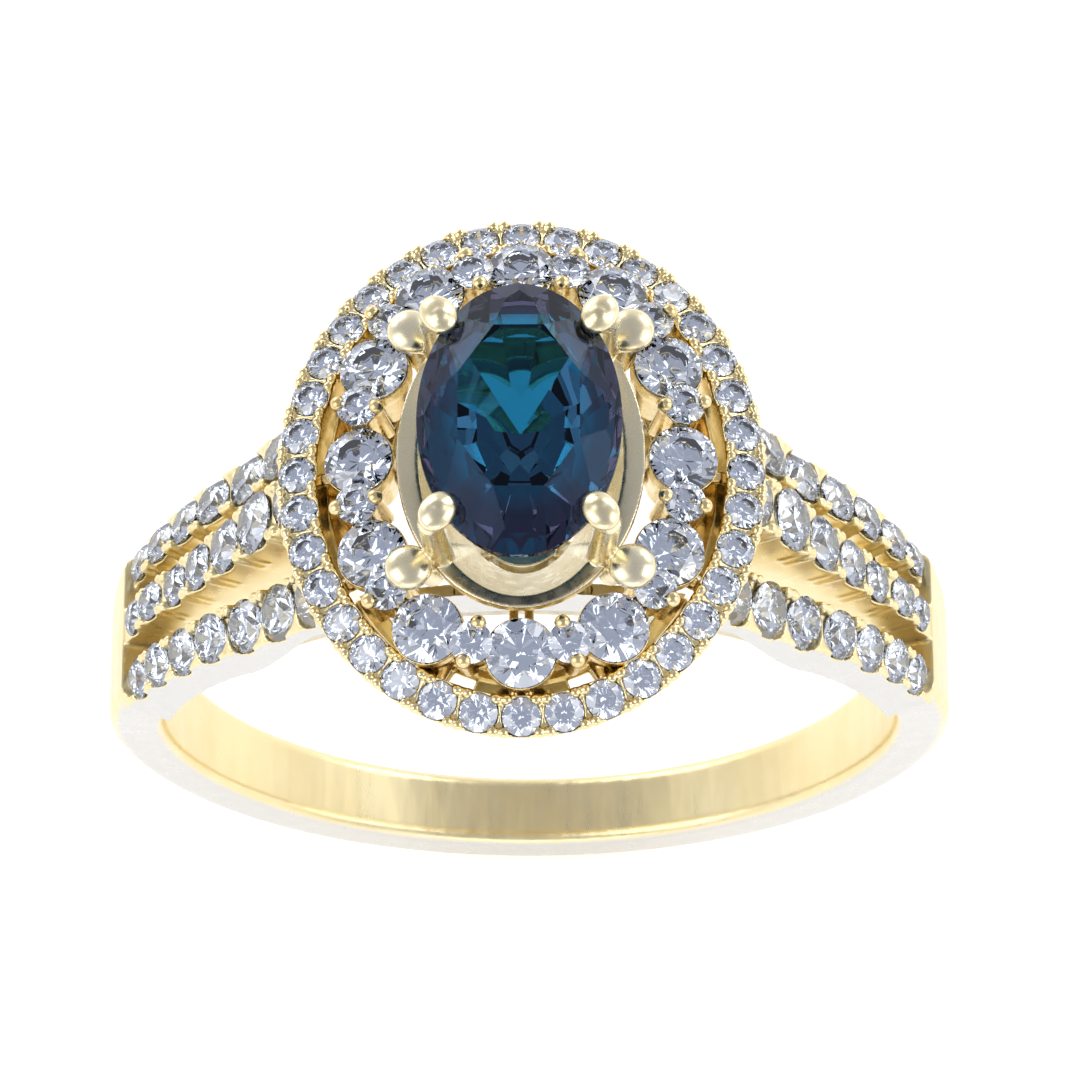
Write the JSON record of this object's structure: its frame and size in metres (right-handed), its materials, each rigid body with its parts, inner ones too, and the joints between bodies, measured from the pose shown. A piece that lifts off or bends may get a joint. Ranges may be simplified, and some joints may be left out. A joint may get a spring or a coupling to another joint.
{
  "type": "engagement ring",
  "caption": "Yellow gold finger ring with an oval teal stone inside two oval diamond halos and split pave shoulders.",
  "frame": {"origin": "centre of the finger hole", "axes": "+Z towards the head and its stone, +Y along the finger hole, +X across the ring"},
  "size_m": [0.02, 0.0126, 0.0251],
  "materials": {
    "gold": "polished",
    "diamond": "gloss",
    "teal_gem": "gloss"
  },
  "bodies": {
    "root": {"centre_basket": "gold", "centre_stone": "teal_gem", "inner_halo_gallery": "gold", "inner_large_stone_01": "diamond", "inner_large_stone_02": "diamond", "inner_large_stone_03": "diamond", "inner_large_stone_04": "diamond", "inner_large_stone_05": "diamond", "inner_large_stone_06": "diamond", "inner_large_stone_07": "diamond", "inner_large_stone_08": "diamond", "inner_large_stone_09": "diamond", "inner_large_stone_10": "diamond", "inner_large_stone_11": "diamond", "inner_large_stone_12": "diamond", "inner_small_stone_01": "diamond", "inner_small_stone_02": "diamond", "inner_small_stone_03": "diamond", "inner_small_stone_04": "diamond", "inner_small_stone_05": "diamond", "inner_small_stone_06": "diamond", "inner_small_stone_07": "diamond", "inner_small_stone_08": "diamond", "inner_small_stone_09": "diamond", "inner_small_stone_10": "diamond", "inner_small_stone_11": "diamond", "inner_small_stone_12": "diamond", "outer_halo_frame": "gold", "outer_halo_stones_left_back": "diamond", "outer_halo_stones_left_front": "diamond", "outer_halo_stones_right_back": "diamond", "outer_halo_stones_right_front": "diamond", "shank": "gold", "shoulder_stones_left_back": "diamond", "shoulder_stones_left_front": "diamond", "shoulder_stones_left_middle": "diamond", "shoulder_stones_right_back": "diamond", "shoulder_stones_right_front": "diamond", "shoulder_stones_right_middle": "diamond"}
  },
  "joints": []
}
